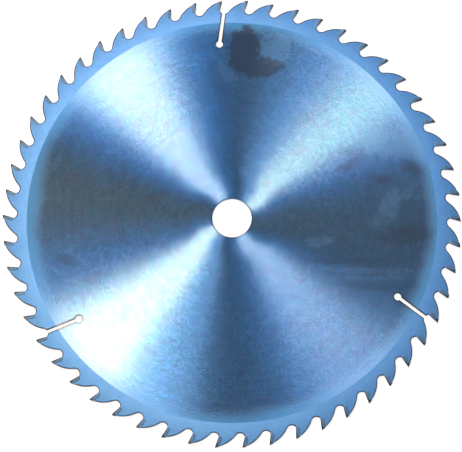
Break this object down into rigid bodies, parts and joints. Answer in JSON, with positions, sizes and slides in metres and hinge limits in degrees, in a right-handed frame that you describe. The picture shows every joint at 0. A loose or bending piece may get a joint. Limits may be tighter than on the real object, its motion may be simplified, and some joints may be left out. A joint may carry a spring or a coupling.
{
  "type": "circular saw blade",
  "caption": "Round toothed steel plate with a central arbor bore, brazed carbide cutting tips and slots that run in from the edge.",
  "frame": {"origin": "centre of the arbor bore, halfway through the plate's thickness", "axes": "+Z along the arbor axis, out of the face that the picture shows; seen from +Z the blade cuts clockwise; one expansion slot lies near +Y"},
  "size_m": [0.35, 0.3496, 0.0036],
  "materials": {
    "blade_steel": "ground in circles inside, sandblasted at the toothed edge, with a bluish sheen",
    "carbide": "ground tungsten carbide, dark grey"
  },
  "bodies": {
    "root": {"blade_body": "blade_steel", "carbide_tip_01": "carbide", "carbide_tip_02": "carbide", "carbide_tip_03": "carbide", "carbide_tip_04": "carbide", "carbide_tip_05": "carbide", "carbide_tip_06": "carbide", "carbide_tip_07": "carbide", "carbide_tip_08": "carbide", "carbide_tip_09": "carbide", "carbide_tip_10": "carbide", "carbide_tip_11": "carbide", "carbide_tip_12": "carbide", "carbide_tip_13": "carbide", "carbide_tip_14": "carbide", "carbide_tip_15": "carbide", "carbide_tip_16": "carbide", "carbide_tip_17": "carbide", "carbide_tip_18": "carbide", "carbide_tip_19": "carbide", "carbide_tip_20": "carbide", "carbide_tip_21": "carbide", "carbide_tip_22": "carbide", "carbide_tip_23": "carbide", "carbide_tip_24": "carbide", "carbide_tip_25": "carbide", "carbide_tip_26": "carbide", "carbide_tip_27": "carbide", "carbide_tip_28": "carbide", "carbide_tip_29": "carbide", "carbide_tip_30": "carbide", "carbide_tip_31": "carbide", "carbide_tip_32": "carbide", "carbide_tip_33": "carbide", "carbide_tip_34": "carbide", "carbide_tip_35": "carbide", "carbide_tip_36": "carbide", "carbide_tip_37": "carbide", "carbide_tip_38": "carbide", "carbide_tip_39": "carbide", "carbide_tip_40": "carbide", "carbide_tip_41": "carbide", "carbide_tip_42": "carbide", "carbide_tip_43": "carbide", "carbide_tip_44": "carbide", "carbide_tip_45": "carbide", "carbide_tip_46": "carbide", "carbide_tip_47": "carbide", "carbide_tip_48": "carbide", "carbide_tip_49": "carbide", "carbide_tip_50": "carbide", "carbide_tip_51": "carbide", "carbide_tip_52": "carbide", "carbide_tip_53": "carbide", "carbide_tip_54": "carbide"}
  },
  "joints": []
}
